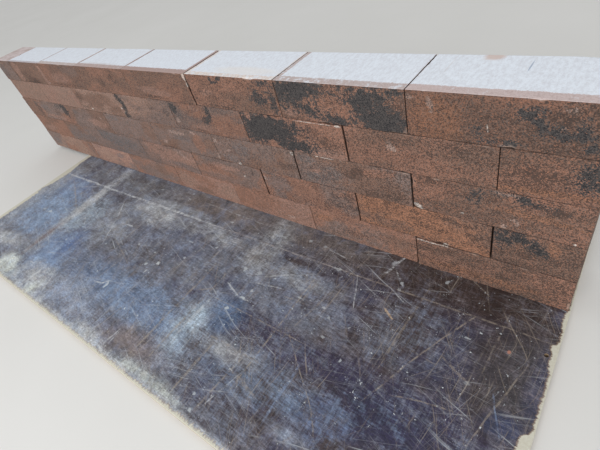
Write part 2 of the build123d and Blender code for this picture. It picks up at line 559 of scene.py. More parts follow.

# %% [markdown]
# The patches could be drawn by chance, but a real wall is known by its few black and pale spots. So each
# one that shows is listed, pigment by pigment. A patch belongs to the block that its middle lies on,
# and it stops at the joint, as it does on blocks that were coloured before they were laid. Soot is black
# that shows only as scattered grains, and bare is a spot that keeps the black away.

# %% The wall's patches
# For each patch: its middle from the wall's right end and up from the board, its reach along and up, all
# in millimetres, its turn in degrees and how ragged its rim is.
PATCHES = {
    "charcoal": [
        (1052, 556, 10, 14, 20, 1.4), (1012, 560, 16, 8, 20, 1.2), (1035, 548, 20, 5, 0, 1.4),
        (860, 504, 30, 30, 20, 2.2), (806, 500, 14, 34, 0, 2.0), (830, 556, 34, 10, 0, 1.8),
        (746, 537, 54, 42, 8, 1.4), (680, 550, 60, 28, 0, 1.6), (486, 512, 58, 66, 0, 1.2),
        (448, 476, 66, 28, 0, 1.3), (424, 558, 24, 9, 0, 2.0), (18, 412, 42, 38, 0, 0.8),
        (1722, 440, 20, 22, 0, 1.2), (1706, 400, 18, 30, -15, 1.2), (1718, 355, 26, 14, 0, 1.2),
        (1340, 430, 24, 26, 0, 1.1), (1170, 398, 22, 16, 0, 1.3), (1138, 425, 14, 32, -8, 1.1),
        (930, 400, 70, 66, 0, 1.2), (865, 410, 66, 52, 0, 1.2), (800, 398, 52, 66, 0, 1.2),
        (745, 358, 44, 17, 0, 1.8), (2390, 305, 34, 40, 0, 1.2),
    ],
    "soot": [
        (690, 494, 30, 18, 0, 2.2), (650, 480, 80, 20, -5, 2.0), (585, 468, 56, 14, 0, 2.0),
        (545, 538, 50, 26, 0, 2.0), (241, 487, 16, 16, 0, 2.0), (212, 466, 44, 8, 0, 2.0),
        (172, 468, 20, 8, 0, 1.8), (138, 546, 28, 12, 0, 2.0), (150, 530, 30, 12, -25, 2.2),
        (118, 518, 34, 12, -35, 2.2), (100, 492, 40, 9, 0, 2.2), (80, 506, 34, 10, -25, 2.2),
        (55, 520, 14, 24, 0, 2.2), (36, 496, 22, 20, 0, 2.2), (22, 476, 24, 12, 0, 2.0),
        (742, 424, 34, 22, 0, 2.2), (697, 372, 36, 28, -10, 2.0), (2905, 305, 16, 40, 0, 1.2),
        (2762, 290, 34, 52, 0, 1.2), (2455, 325, 44, 20, 10, 1.2), (230, 324, 30, 17, 0, 2.2),
        (238, 300, 18, 20, 0, 2.2), (150, 330, 34, 12, -6, 2.2), (112, 322, 34, 13, -10, 2.2),
        (160, 212, 40, 22, 0, 2.0), (172, 188, 22, 24, 0, 2.0), (108, 202, 52, 22, -22, 2.0),
        (80, 180, 28, 16, -30, 2.0),
    ],
    "bare": [
        (858, 350, 12, 22, -10, 1.4), (936, 446, 10, 18, 10, 1.6), (816, 455, 20, 9, 0, 1.6),
        (56, 200, 16, 24, 10, 1.0),
    ],
    "umber": [
        (2600, 500, 50, 30, 0, 1.2), (2150, 468, 190, 7, 0, 0.8), (1782, 510, 24, 34, 0, 1.4),
        (1684, 530, 30, 24, 30, 1.6), (1437, 468, 75, 6, 0, 0.8), (1160, 488, 10, 12, 0, 0.8),
        (1070, 464, 80, 5, 0, 1.0), (600, 552, 60, 14, 0, 1.6), (425, 520, 30, 30, 0, 1.6),
        (60, 520, 90, 60, 0, 2.4), (90, 396, 50, 16, 0, 1.8), (2105, 405, 26, 22, 20, 1.0),
        (2110, 362, 50, 9, 0, 1.2), (1495, 412, 14, 7, 0, 1.0), (1400, 405, 16, 20, 0, 1.6),
        (1045, 390, 11, 10, 0, 1.2), (625, 380, 50, 26, 0, 1.6), (690, 400, 60, 26, 0, 1.6),
        (730, 425, 40, 12, 10, 2.0), (280, 440, 70, 12, 0, 1.6), (2510, 285, 40, 10, 10, 1.4),
        (2140, 235, 16, 8, 30, 0.8), (1885, 236, 20, 3, 6, 0.6), (1470, 233, 70, 4, 0, 0.8),
        (830, 270, 40, 14, 0, 1.8), (560, 310, 20, 18, -20, 1.8), (515, 244, 26, 14, 0, 1.5),
        (588, 290, 24, 14, 0, 1.8), (445, 244, 44, 8, 0, 1.6), (100, 320, 56, 14, -8, 2.0),
        (345, 330, 40, 12, 0, 2.0), (2640, 212, 30, 14, 0, 1.2), (1590, 200, 18, 9, 0, 1.0),
        (1024, 200, 12, 12, 30, 1.6), (663, 193, 13, 13, 0, 1.2), (612, 200, 18, 14, 0, 1.8),
        (705, 138, 14, 8, 0, 1.6), (640, 160, 50, 12, 0, 2.2), (480, 216, 10, 9, 0, 1.6),
        (455, 206, 8, 12, 0, 1.4), (395, 212, 14, 9, 0, 1.8), (315, 214, 20, 7, 0, 1.8),
        (258, 206, 30, 8, 0, 2.0), (240, 170, 24, 12, 0, 2.2), (350, 168, 40, 8, 0, 2.2),
        (620, 44, 60, 14, 0, 2.2),
    ],
    "mauve": [
        (2040, 545, 90, 30, 0, 1.2), (1085, 285, 90, 60, 0, 0.7), (1200, 135, 150, 18, 0, 1.4),
        (2800, 90, 60, 16, 0, 1.2), (2380, 70, 30, 34, 0, 1.0),
    ],
    "orange": [
        (330, 500, 60, 60, 0, 1.0), (95, 360, 95, 9, 3, 1.4), (110, 286, 90, 10, -4, 1.4),
        (58, 198, 15, 24, 10, 1.0), (370, 178, 130, 16, -4, 1.6), (732, 76, 36, 14, 4, 1.0),
        (220, 30, 160, 14, 0, 1.8),
    ],
    "slate": [
        (2880, 500, 40, 40, 0, 1.0), (1322, 400, 20, 16, 0, 1.6), (2760, 318, 16, 12, 0, 1.2),
        (2660, 300, 60, 18, 0, 1.4), (2270, 312, 24, 14, 0, 1.2), (1890, 325, 50, 14, 0, 1.4),
        (1380, 292, 70, 14, 0, 1.4), (1040, 300, 40, 30, 0, 1.4), (1100, 250, 50, 16, 0, 1.4),
        (656, 282, 36, 26, 10, 1.0), (720, 258, 50, 16, 0, 1.2), (745, 320, 34, 16, 0, 1.6),
        (2440, 170, 70, 44, 8, 0.9), (2300, 150, 90, 26, 0, 1.4), (2280, 198, 30, 10, 0, 1.4),
        (1990, 195, 60, 26, -8, 1.0), (1870, 190, 90, 30, 0, 1.2), (2080, 205, 40, 18, 0, 1.2),
        (1480, 140, 90, 14, 0, 1.4), (905, 185, 64, 36, 0, 1.0), (910, 130, 30, 20, 0, 1.4),
        (2850, 50, 60, 30, 0, 1.2), (2060, 80, 50, 14, 10, 1.4),
    ],
    "salmon": [
        (2679, 512, 40, 60, 0, 0.8), (2360, 500, 22, 60, 0, 1.0), (2190, 500, 90, 25, 0, 1.4),
        (1410, 492, 100, 16, -3, 1.0), (1100, 508, 40, 10, 10, 1.2), (745, 478, 34, 14, 0, 1.0),
        (1170, 365, 70, 12, 0, 1.4), (1215, 440, 24, 12, 0, 1.2), (2560, 250, 120, 12, 0, 1.2),
        (2070, 270, 80, 24, 0, 1.6), (715, 280, 26, 7, 12, 1.4), (2800, 150, 90, 20, 6, 1.4),
        (1640, 182, 50, 16, 0, 1.4), (1180, 196, 90, 10, 0, 1.6),
    ],
    "tan": [(2200, 60, 90, 40, 0, 1.0), (1500, 60, 60, 44, 0, 1.0), (1220, 50, 60, 44, 0, 1.0)],
    "terracotta": [
        (418, 532, 16, 22, 0, 1.6), (1276, 285, 34, 46, 0, 1.0), (500, 318, 60, 16, 10, 1.4),
        (770, 175, 60, 40, 0, 1.2),
    ],
    "brown": [
        (1450, 540, 110, 22, 0, 1.2), (960, 505, 90, 14, 0, 1.4), (1860, 425, 70, 20, 0, 1.2),
        (1608, 290, 50, 50, 0, 0.8), (1205, 290, 34, 30, 0, 1.2), (470, 140, 70, 20, 0, 1.6),
        (1920, 106, 60, 7, 0, 1.0), (1690, 70, 50, 30, 0, 1.4), (1400, 24, 60, 18, 0, 1.4),
        (460, 62, 56, 26, 0, 1.6), (300, 84, 90, 18, 0, 2.0),
    ],
    "dust": [
        (705, 526, 9, 6, 0, 2.4), (343, 545, 7, 12, 10, 2.2), (389, 553, 9, 5, 0, 2.0),
        (338, 522, 5, 5, 0, 2.0), (86, 551, 12, 7, 0, 2.4), (88, 515, 5, 4, 0, 2.0),
        (184, 463, 14, 5, 0, 2.4), (1340, 380, 16, 8, 10, 2.0), (1345, 372, 22, 4, 12, 2.0),
        (452, 417, 9, 11, 20, 2.4), (440, 410, 6, 6, 0, 2.0), (2010, 308, 10, 5, 0, 1.6),
        (1515, 255, 14, 8, 20, 1.8), (1290, 328, 12, 8, 0, 1.8), (1400, 315, 50, 8, 0, 2.4),
        (1114, 281, 16, 5, 10, 2.2), (1177, 316, 20, 12, 0, 2.6), (141, 328, 14, 9, 0, 2.4),
        (160, 335, 30, 4, 0, 2.6), (142, 257, 10, 10, 20, 3), (170, 238, 7, 5, 0, 2.4),
        (1440, 200, 24, 12, -20, 2.4), (963, 196, 9, 12, 20, 1.8), (970, 172, 6, 8, 0, 1.8),
        (898, 30, 20, 6, 0, 2.0),
    ],
    "chalk": [
        (2344, 470, 7, 8, 0, 1.0), (1182, 558, 7, 16, 10, 0.6), (1181, 530, 4, 10, 0, 0.8),
        (220, 497, 1.6, 10, 8, 0.8), (2030, 356, 8, 4, 0, 1.0), (1712, 421, 5, 4, 0, 1.0),
        (1736, 387, 6, 4, 0, 1.2), (1719, 369, 9, 5, 0, 1.2), (690, 452, 60, 1.2, 0, 1.8),
        (596, 452, 9, 3, 0, 0.8), (1070, 234, 8, 5, 0, 1.2), (795, 328, 8, 8, 0, 1.4),
        (670, 337, 40, 1.5, 0, 2.0), (384, 236, 16, 9, -20, 1.2), (268, 249, 5, 2.5, 0, 1.6),
        (24, 233, 3, 3, 0, 1.0), (1074, 177, 7, 4, 30, 1.0), (311, 119, 8, 3, 0, 1.0),
        (360, 110, 50, 1.8, 0, 1.8), (311, 112, 9, 2.5, 0, 1.0),
    ],
}


def patches_on(name, pigment):
    """The patches of one pigment whose middle lies on this block."""
    low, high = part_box(name)
    middles = [(on_face(*patch[:2]), patch) for patch in PATCHES[pigment]]
    return [patch for middle, patch in middles if low.x <= middle.x <= high.x and low.z <= middle.z < high.z]


laid = sum(len(patches_on(name, pigment)) for name in BLOCKS for pigment in PATCHES)
print("patches", laid, "of", sum(map(len, PATCHES.values())))

# %% [markdown]
# The recipe starts with the grains: cells about two millimetres wide, each with a shade of its own,
# gathered by a slower noise. Together they are the grit, a number from 0 to 1 that changes from grain to
# grain. The colour and the relief of a block both read the same noises, so they belong together.

# %% The noises of one block
GRAINS, CLUSTERS, RIMS, MOTTLE, TIDE, PITS = 480.0, 150.0, 60.0, 36.0, 9.0, 210.0
# Nearly all of a noise lies between these two
NOISE_SPAN = (0.3, 0.7)


class Mix:
    """The noises that one block's colour and relief share."""

    def __init__(self, finish, seed):
        self.where = finish.add("TexCoord", "Object")
        self.own = finish.shifted(self.where, seed)
        drawn_out = finish.drawn(self.own, 2.0, 1.0)
        shade = finish.add("SeparateColor", 0, Color=finish.grains(self.own, GRAINS)).node
        self.shade, self.tint, _ = shade.outputs
        self.cluster = finish.noise(self.own, CLUSTERS, 3.0, 0.65)
        gathered = finish.ramp(self.cluster, *NOISE_SPAN)
        self.grit = finish.share(self.shade, 0.6, finish.times(gathered, 0.4))
        self.sand = finish.share(self.shade, 0.8, finish.times(gathered, 0.2))
        self.mottle = finish.noise(drawn_out, MOTTLE, 4.0, 0.6)
        self.tide = finish.noise(drawn_out, TIDE, 2.0, 0.5)
        self.uneven = finish.swing(self.own, RIMS, 5.0, 0.75)


print("a grain is about", round(1000 / GRAINS, 1), "mm wide")

# %% [markdown]
# A patch of a light pigment is blended over the ground. A black one is a soft field that is added to the
# grit before both are cut off at one level, so deep inside it every grain is black and at its rim only
# the darkest are. That gives the scattered edge which a painted blot never has.

# %% Ground, patches and black
# How far each dark field blackens the grit, and between which levels of it a grain turns black
BLACKENS = {"charcoal": 1.7, "soot": 1.15, "bare": -1.7}
GRAIN_BY_GRAIN = 2.2
TURNS_BLACK = (1.95, 2.35)
DARKENS = (*BLACKENS, "umber")
SCATTERED = 0.3
FLECK_SHOWS = (0.85, 1.25)
PATCH_DEPTH = 70.0
RAGGED = 2.2
PATCH_RIM = (0.28, 0.72)
FADE_BEHIND = (40.0, 110.0)


def ground_coat(finish, mix, ground, drift, drift_share):
    """The ground of a block, with a second pigment half stirred in."""
    edge = 0.5 - 0.35 * (drift_share - 0.5)
    stirring = finish.share(mix.uneven, 0.5, finish.share(mix.grit, 0.08, mix.tide))
    return finish.blend(finish.ramp(stirring, edge - 0.05, edge + 0.13), PIGMENT[ground], PIGMENT[drift])


def patched(finish, mix, name, colour):
    """Lay a block's patches: the light ones on the colour, the dark ones gathered as fields."""
    fields = {pigment: [] for pigment in DARKENS}
    for pigment in PATCHES:
        for from_end, up_by, along, upward, turn, ragged in patches_on(name, pigment):
            reach = (along * MM, max(PATCH_DEPTH, along) * MM, upward * MM)
            there = finish.spread(mix.where, mix.uneven, on_face(from_end, up_by), reach, ragged * RAGGED,
                                  PATCH_RIM, (0.0, math.radians(-turn), 0.0))
            if pigment in DARKENS:
                fields[pigment].append(there)
            else:
                cover = finish.ramp(finish.share(mix.grit, 0.5, there), 0.5, 1.0, 0.0, COVER[pigment])
                colour = finish.blend(cover, colour, PIGMENT[pigment])
    # round the back, where nothing is placed, the black patches come from the slow noise alone
    behind = finish.ramp(finish.parts(mix.where)[1], *(FACE + far * MM for far in FADE_BEHIND))
    stirred = finish.share(mix.uneven, 0.25, finish.noise(mix.own, 6.0, 3.0, 0.6))
    fields["charcoal"].append(finish.times(behind, finish.ramp(stirred, 0.57, 0.66)))
    return colour, fields


def grained(finish, mix, paleness_with_painted_light, colour):
    """The fine tone of a block, scaled by its paleness with painted light, and its single grains of grey and
    orange.
    """
    tone = finish.times(finish.ramp(mix.shade, 0.0, 1.0, 1.25 * paleness_with_painted_light, 0.75 * paleness_with_painted_light),
                        finish.ramp(mix.cluster, *NOISE_SPAN, 1.14, 0.86),
                        finish.ramp(mix.mottle, *NOISE_SPAN, 1.06, 0.94),
                        finish.share(mix.uneven, 0.7, 1.0))
    colour = finish.toned(colour, tone)
    colour = finish.blend(finish.ramp(mix.tint, 0.74, 0.88, 0.0, 0.5), colour, GREY_GRAIN)
    return finish.blend(finish.ramp(mix.tint, 0.24, 0.12, 0.0, 0.45), colour, ORANGE_GRAIN)


def blackened(finish, mix, fleck, fields, colour):
    """The dark fleck all through a block, and the black grains of its patches."""
    darkness = finish.math("ADD", mix.sand, finish.ramp(mix.mottle, *NOISE_SPAN, 0.65 * fleck, 1.15 * fleck))
    for field in fields["umber"]:
        darkness = finish.share(field, SCATTERED, darkness)
    colour = finish.blend(finish.ramp(darkness, *FLECK_SHOWS, 0.0, 0.75), colour, PIGMENT["umber"])
    blackness = finish.times(mix.grit, GRAIN_BY_GRAIN)
    for kind, strength in BLACKENS.items():
        for field in fields[kind]:
            blackness = finish.share(field, strength, blackness)
    black = finish.blend(finish.ramp(mix.tint, 0.0, 1.0), PIGMENT["charcoal"], PALE_BLACK)
    return finish.blend(finish.ramp(blackness, *TURNS_BLACK), colour, black)


print("black grains where the grit and the fields pass", TURNS_BLACK)

# %% [markdown]
# The lime that blooms on the tops is nearly white. It stops short of the arrises, where rain runs off
# and hands have rubbed: in a ragged strip along the front, whose colour differs from block to block, and
# in a narrow one at some of the ends. A cover from 0 to 1 says where it lies, and a few stains break it.

# %% Lime on the tops
# For each top: how far its lime stays off its left end, its right end and its front, in millimetres, the
# colour of the strip along the front, and how much lime is rubbed into that strip.
BLOOM = {
    "course_5_block_7": (1, 0, 27, seen(195, 179, 177), 0.12),
    "course_5_block_6": (13, 1, 26, seen(188, 175, 173), 0.45),
    "course_5_block_5": (12, 4, 20, seen(222, 212, 206), 0.6),
    "course_5_block_4": (5, 13, 28, seen(172, 150, 145), 0.1),
    "course_5_block_3": (8, 7, 27, seen(180, 162, 158), 0.2),
    "course_5_block_2": (7, 8, 24, seen(192, 180, 177), 0.25),
    "course_5_block_1": (0, 7, 15, seen(190, 186, 192), 0.2),
}
# Stains in the lime: colour, place from the right end and from the front, reach, strength
TOP_STAINS = {
    "course_5_block_7": [(seen(200, 178, 168), 264, 168, 22, 18, 0.8),
                         (seen(150, 164, 184), 182, 128, 1.6, 24, 0.8),
                         (seen(202, 196, 196), 345, 120, 2.0, 50, 0.3)],
    "course_5_block_5": [(seen(224, 219, 214), 930, 42, 130, 24, 0.5)],
    "course_5_block_3": [(seen(196, 190, 190), 1790, 30, 150, 10, 0.5)],
}
# How far the rim of the lime jumps in and out, with the slow noise and with the grains
TEETH = 9.0
TEETH_FINE = 5.0
# Half the width over which it fades, and how far down the face the damp lip reaches
LIME_RIM = 1.5
LIP = 3.0
FACE_LINE = FACE + 2.5 * MM


def limed(finish, mix, name):
    """The colour of one limed top."""
    left, right_hand, front, strip, rubbed_in = BLOOM[name]
    low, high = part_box(name)
    x, y, _ = finish.parts(mix.where)
    fine_teeth = finish.share(mix.grit, TEETH_FINE * MM, -TEETH_FINE / 2 * MM)
    teeth = finish.share(mix.uneven, TEETH * MM, fine_teeth)
    covers = []
    for place, edge, way, margin in ((y, low.y, 1, front), (x, low.x, 1, left), (x, high.x, -1, right_hand)):
        reach = finish.math("ADD", finish.share(place, way, -way * edge), teeth)
        covers.append(finish.ramp(reach, (margin - LIME_RIM) * MM, (margin + LIME_RIM) * MM))
    streak = finish.noise(finish.drawn(mix.own, 1.0, 2.5), 150.0, 5.0, 0.7)
    lime = finish.blend(finish.ramp(streak, 0.35, 0.7), LIME_BLOOM, LIME_SHADE)
    lime = finish.blend(finish.ramp(mix.grit, 0.75, 1.0, 0.0, 0.5), lime, LIME_SPECK)
    for tone, from_end, from_front, reach_x, reach_y, strength in TOP_STAINS.get(name, []):
        centre = Vector((RIGHT_END - from_end * MM, FACE_LINE + from_front * MM, high.z))
        there = finish.spread(mix.where, mix.uneven, centre, (reach_x * MM, reach_y * MM, 1.0), 0.8)
        lime = finish.blend(finish.times(there, strength), lime, tone)
    ripples = finish.noise(mix.own, 70.0, 4.0, 0.7)
    ripples = finish.ramp(ripples, 0.62 - 0.25 * rubbed_in, 0.72 - 0.15 * rubbed_in)
    strip = finish.blend(finish.ramp(mix.grit, 0.3, 1.0, 0.0, 0.45), strip, STRIP_SHADE)
    strip = finish.blend(finish.times(ripples, 0.35 + rubbed_in), strip, lime)
    return finish.blend(finish.times(*covers), strip, lime)


def topped(finish, mix, name, up_there, colour):
    """Lay the lime or its veil over the tops, above a damp lip along the upper edge of the faces."""
    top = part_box(name)[1].z
    lip = finish.ramp(finish.parts(mix.where)[2], top - LIP * MM, top, 0.0, 0.6)
    colour = finish.blend(lip, colour, DAMP_LIP)
    if name in BLOOM:
        lime = limed(finish, mix, name)
    else:
        lime = finish.blend(finish.ramp(mix.mottle, *NOISE_SPAN), LIME_VEIL, VEIL_SHADE)
    return finish.blend(up_there, colour, lime)


print("tops with lime", sorted(BLOOM), "face line", round(FACE_LINE, 4))

# %% [markdown]
# Now the coats go on a block in the order in which the real one got them: the mix, the fleck and the
# black, then what years outdoors added, which are pale arrises, lime on the tops and dirt in the joints.
# The wear and the dirt were marked on the points of the mesh, so the colour follows its shape.

# %% Dress the wall
def cast_concrete(name, seed):
    """The finish of one block."""
    ground, drift, drift_share, fleck, paleness_with_painted_light = GROUNDS[name]
    finish = Finish(name + "_concrete")
    mix = Mix(finish, seed)
    colour, fields = patched(finish, mix, name, ground_coat(finish, mix, ground, drift, drift_share))
    colour = blackened(finish, mix, fleck, fields, grained(finish, mix, paleness_with_painted_light, colour))

    wear = finish.add("Attribute", "Fac", {"attribute_name": "wear"})
    colour = finish.blend(finish.times(wear, 0.4), colour, RUBBED_ARRIS)
    dirt = finish.add("Attribute", "Fac", {"attribute_name": "joint_dirt"})
    if name.startswith("course_5"):
        up_there = finish.ramp(finish.facing_up(), 0.55, 0.8)
        colour = topped(finish, mix, name, up_there, colour)
        dirt = finish.times(dirt, finish.ramp(up_there, 0.0, 1.0, 1.0, 0.25))
    colour = finish.blend(finish.ramp(dirt, 0.0, 1.0, 0.0, 0.7), colour, JOINT_DIRT)

    pits = finish.ramp(finish.grains(mix.own, PITS, "Distance"), 0.0, 0.4)
    height = finish.share(mix.cluster, 0.8, finish.times(pits, 0.5))
    roughness = finish.ramp(mix.cluster, *NOISE_SPAN, 0.95, 0.8)
    return finish.finish(colour, roughness, 0.3, height, 0.8)


luck = random.Random(11)
faces_laid = 0
for name in BLOCKS:
    seed = Vector([luck.uniform(-20, 20) for _ in range(3)])
    piece = weathered_block(name, seed * 0.1)
    piece.data.materials.append(cast_concrete(name, seed))
    faces_laid += len(piece.data.polygons)
print("blocks dressed", len(BLOCKS), "faces", faces_laid)

# %% [markdown]
# The board is birch plywood under a brown phenolic film, of the kind that concrete is cast on. Years of
# use have left it dusted with cement, scored by straight cuts and scuffed through to the wood along its
# edges. All of that is thinner than the film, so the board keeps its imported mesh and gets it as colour.
# Its places are read in its own directions: from its right end and from its front edge.

# %% The board's own directions
BOARD_TURN = math.radians(1.5)
board_points = np.array([v.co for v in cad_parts["board"].data.vertices])
square = board_points @ np.array(Matrix.Rotation(-BOARD_TURN, 3, "Z")).T
BOARD_LENGTH, BOARD_WIDTH, BOARD_THICKNESS = square.max(0) - square.min(0)
RIGHT_FRONT = Matrix.Rotation(BOARD_TURN, 3, "Z") @ Vector((square[:, 0].max(), square[:, 1].min(), 0))


def mark(finish, own, raggedness, middle, reach, ragged, rim=(0.35, 0.7), turn=0.0):
    """One mark on the board's film, its middle and its reach in millimetres."""
    return finish.spread(own, raggedness, (middle[0] * MM, middle[1] * MM, 0.0),
                         (reach[0] * MM, reach[1] * MM, 1.0), ragged, rim, (0.0, 0.0, turn))


print("board measures", round(BOARD_LENGTH, 4), round(BOARD_WIDTH, 4), round(BOARD_THICKNESS, 4))

# %% [markdown]
# The dust is not an even veil. It sits in smears that a broom, boots and wet boards have drawn out in
# several directions, and the dark film shows between them. So each zone of the board gives two things,
# the colour of its dust and how thick it lies, and the smears decide where it shows. The bluish colours of
# the dust and of the film's stains are a painted reflection of the sky in the glossy film. Before the zones
# are laid, the dust gets thicker, and that painted reflection stronger, from the right end to the left.

# %% Zones of the film
FILM, STAINED_FILM = seen(60, 51, 54), seen(54, 54, 76)
# Colours of the dust. The bluer ones are dust with a painted reflection of the sky in it.
DUST_AND_SKY_SHEEN = {
    "settled": seen(140, 150, 168),
    "cool_dust_and_sky_sheen": seen(132, 153, 181),
    "worn": seen(134, 127, 134),
    "cement": seen(150, 156, 165),
    "earth": seen(125, 118, 118),
    "blue": seen(116, 138, 174),
    "sky": seen(176, 194, 210),
    "haze": seen(180, 185, 190),
    "rose": seen(141, 132, 134),
    "cream": seen(198, 205, 200),
}
# The film itself, where it is stained, and where it is bluish, a painted reflection of the sky: the colour,
# the middle from the right end and from the front edge, and the reach along and across.
FILM_STAINS_AND_SKY_SHEEN = [
    (seen(56, 45, 43), 260, 690, 520, 90),
    (seen(66, 58, 56), 1300, 700, 620, 70),
    (seen(50, 44, 66), 540, 316, 560, 40),
    (seen(46, 44, 68), 280, 262, 180, 80),
    (seen(62, 58, 62), 60, 500, 90, 130),
    (seen(58, 58, 76), 16, 480, 24, 90),
    (seen(54, 60, 86), 62, 366, 40, 30),
    (seen(64, 62, 78), 10, 690, 22, 26),
    (seen(52, 70, 100), 860, 310, 70, 50),
    (seen(52, 72, 104), 1480, 190, 200, 80),
    (seen(52, 70, 102), 1110, 185, 150, 50),
    (seen(56, 80, 124), 1850, 210, 120, 130),
    (seen(58, 78, 128), 2280, 540, 180, 70),
    (seen(74, 66, 67), 1070, 85, 80, 44),
]
# The dust, with the painted sky reflection in its colours: its kind, how thick it lies, 0 to 1, its middle,
# and its reach along and across.
DUST_AND_SKY_SHEEN_ZONES = [
    ("worn", 0.05, 260, 690, 430, 84),
    ("earth", 0.46, 780, 695, 240, 74),
    ("earth", 0.66, 1280, 700, 400, 62),
    ("cement", 0.46, 2080, 690, 470, 66),
    ("worn", 0.02, 90, 480, 170, 180),
    ("settled", 0.12, 330, 500, 130, 120),
    ("cool_dust_and_sky_sheen", 0.02, 300, 262, 190, 70),
    ("settled", 0.46, 680, 440, 240, 80),
    ("cement", 0.70, 740, 530, 180, 36),
    ("settled", 0.10, 520, 316, 440, 34),
    ("cool_dust_and_sky_sheen", 0.34, 640, 190, 260, 70),
    ("haze", 0.50, 780, 212, 110, 34),
    ("blue", 0.22, 400, 180, 60, 56),
    ("settled", 0.64, 472, 112, 56, 18),
    ("settled", 0.28, 700, 62, 190, 40),
    ("cool_dust_and_sky_sheen", 0.58, 1250, 210, 270, 90),
    ("settled", 0.40, 1250, 400, 240, 80),
    ("haze", 0.48, 1180, 572, 200, 40),
    ("haze", 0.74, 1560, 568, 170, 60),
    ("cement", 0.90, 1500, 636, 230, 20),
    ("haze", 0.50, 915, 600, 70, 120),
    ("sky", 0.70, 950, 225, 62, 110),
    ("cool_dust_and_sky_sheen", 0.26, 862, 316, 60, 60),
    ("rose", 0.50, 1090, 84, 130, 42),
    ("earth", 0.62, 1190, 46, 70, 34),
    ("settled", 0.96, 1540, 84, 190, 74),
    ("haze", 0.80, 1820, 25, 190, 34),
    ("haze", 0.85, 1290, 22, 110, 28),
    ("cream", 0.70, 930, 20, 160, 30),
    ("haze", 0.86, 1000, 6, 900, 13),
    ("haze", 0.96, 1560, 7, 560, 17),
    ("cement", 0.76, 1710, 460, 120, 120),
    ("cool_dust_and_sky_sheen", 0.80, 2290, 520, 170, 80),
    ("cement", 0.98, 2420, 400, 90, 260),
    ("cool_dust_and_sky_sheen", 0.88, 2200, 360, 190, 170),
    ("sky", 0.54, 1940, 430, 100, 110),
    ("cool_dust_and_sky_sheen", 0.74, 1860, 180, 130, 120),
    ("blue", 0.50, 1812, 262, 24, 66),
    ("cement", 0.80, 2130, 165, 190, 34),
    ("haze", 0.84, 2240, 145, 90, 32),
    ("haze", 0.86, 2014, 520, 34, 240),
    ("cement", 0.78, 2018, 240, 30, 90),
    ("rose", 0.70, 2018, 240, 14, 84),
    ("cream", 1.0, 2030, 45, 90, 62),
    ("cream", 1.0, 1738, 56, 34, 70),
    ("haze", 0.80, 1790, 90, 130, 44),
]
print("zones of dust", len(DUST_AND_SKY_SHEEN_ZONES), "stains of the film", len(FILM_STAINS_AND_SKY_SHEEN))

# %% The dusty film
# the blue tinge is a painted reflection of the sky in the glossy film
SKY_REFLECTION_BLUE, BROWN_TINGE = DUST_AND_SKY_SHEEN["blue"], seen(140, 128, 117)
SOFT_RIM = (0.2, 0.8)
ZONE_RAGGED = 1.6
# The point that the smears and the scuffs are turned about
TURNED_ABOUT = (0.3, 0.7, 0.0)
# Over how many metres from the right end the dust, with the painted sky reflection in its colour, thickens,
# and how thick it gets there
THICKENS_OVER = 2.4
THICKNESS = (0.08, 1.06)
# Families of smears in the dust: their turn, how drawn out, how many to the metre and how strong
SMEARS = [(0, 1.6, 16.0, 0.7), (24, 3.5, 70.0, 0.7), (2, 9.0, 200.0, 1.1), (90, 8.0, 160.0, 1.0),
          (66, 5.0, 60.0, 0.5), (10, 2.0, 45.0, 0.7)]


